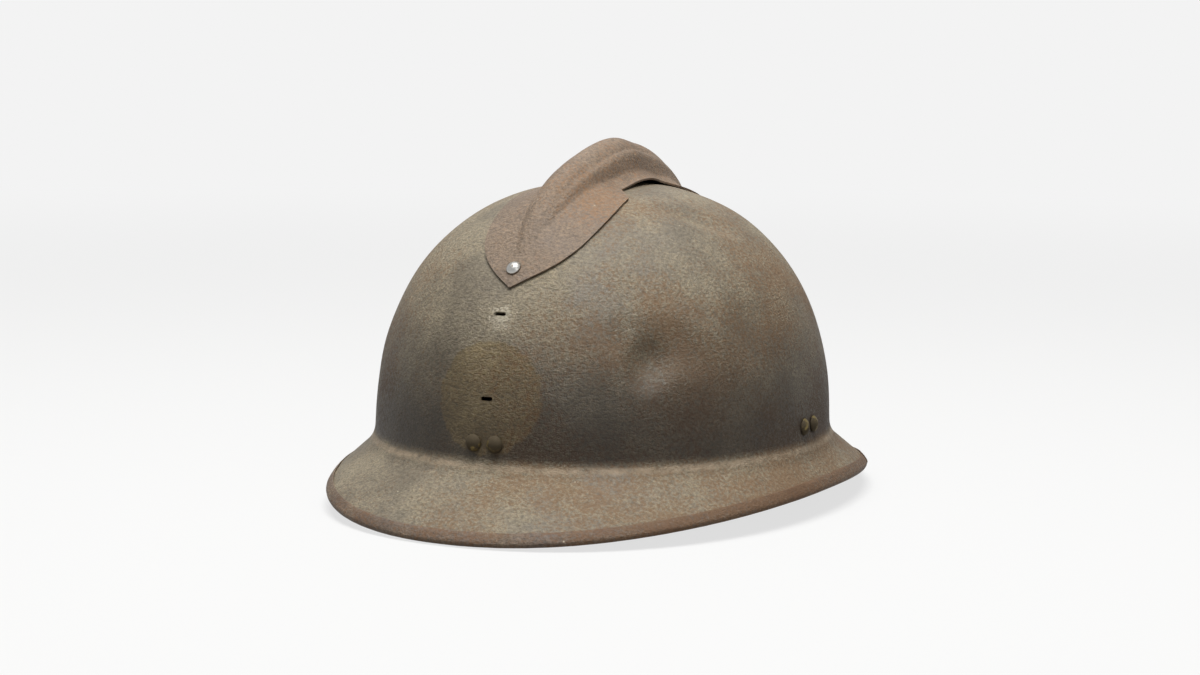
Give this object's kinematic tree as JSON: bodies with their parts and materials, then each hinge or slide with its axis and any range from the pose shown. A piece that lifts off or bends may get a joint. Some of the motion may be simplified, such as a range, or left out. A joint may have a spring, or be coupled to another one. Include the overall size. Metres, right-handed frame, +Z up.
{
  "type": "adrian helmet",
  "caption": "Brimmed steel helmet with a riveted comb crest, rolled rim edging, leather and felt liner, corrugated pads and swinging chin strap bails.",
  "frame": {"origin": "centre of the helmet's plan, in the level plane that its rim stands on", "axes": "+Z up to the crown, -Y to the wearer's front, +X to the wearer's left"},
  "size_m": [0.2132, 0.2833, 0.1505],
  "materials": {
    "shell_paint": "worn satin paint over steel",
    "edging_paint": "worn paint over steel",
    "crest_paint": "worn and rusted paint over steel",
    "crest_rivet_steel": "rubbed bright",
    "liner_brass": "dulled",
    "hoop_steel": "dulled",
    "bail_steel": "dulled",
    "pad_aluminium": "dull",
    "felt": "matted wool",
    "leather": "worn, dark brown"
  },
  "bodies": {
    "helmet": {"shell": "shell_paint", "rim_edging": "edging_paint", "crest": "crest_paint", "crest_rivets": "crest_rivet_steel", "crest_rivet_washers": "liner_brass", "liner_rivets": "liner_brass", "liner_hoop": "hoop_steel", "felt_band": "felt", "sweatband": "leather", "crown_leather": "leather", "left_bail_lug": "hoop_steel", "right_bail_lug": "hoop_steel", "front_liner_hook": "liner_brass", "rear_liner_hook": "liner_brass", "left_liner_hook": "liner_brass", "right_liner_hook": "liner_brass", "front_left_pad": "pad_aluminium", "front_right_pad": "pad_aluminium", "rear_left_pad": "pad_aluminium", "rear_right_pad": "pad_aluminium"},
    "left_bail": {"left_bail": "bail_steel"},
    "right_bail": {"right_bail": "bail_steel"}
  },
  "joints": [
    {"name": "left_bail_swing", "type": "hinge", "parent": "helmet", "child": "left_bail", "pos_m": [0.0917, 0, 0.027], "axis": [0, 1, 0], "range_deg": [-25, 75]},
    {"name": "right_bail_swing", "type": "hinge", "parent": "helmet", "child": "right_bail", "pos_m": [-0.0917, 0, 0.027], "axis": [0, -1, 0], "range_deg": [-25, 75]}
  ]
}
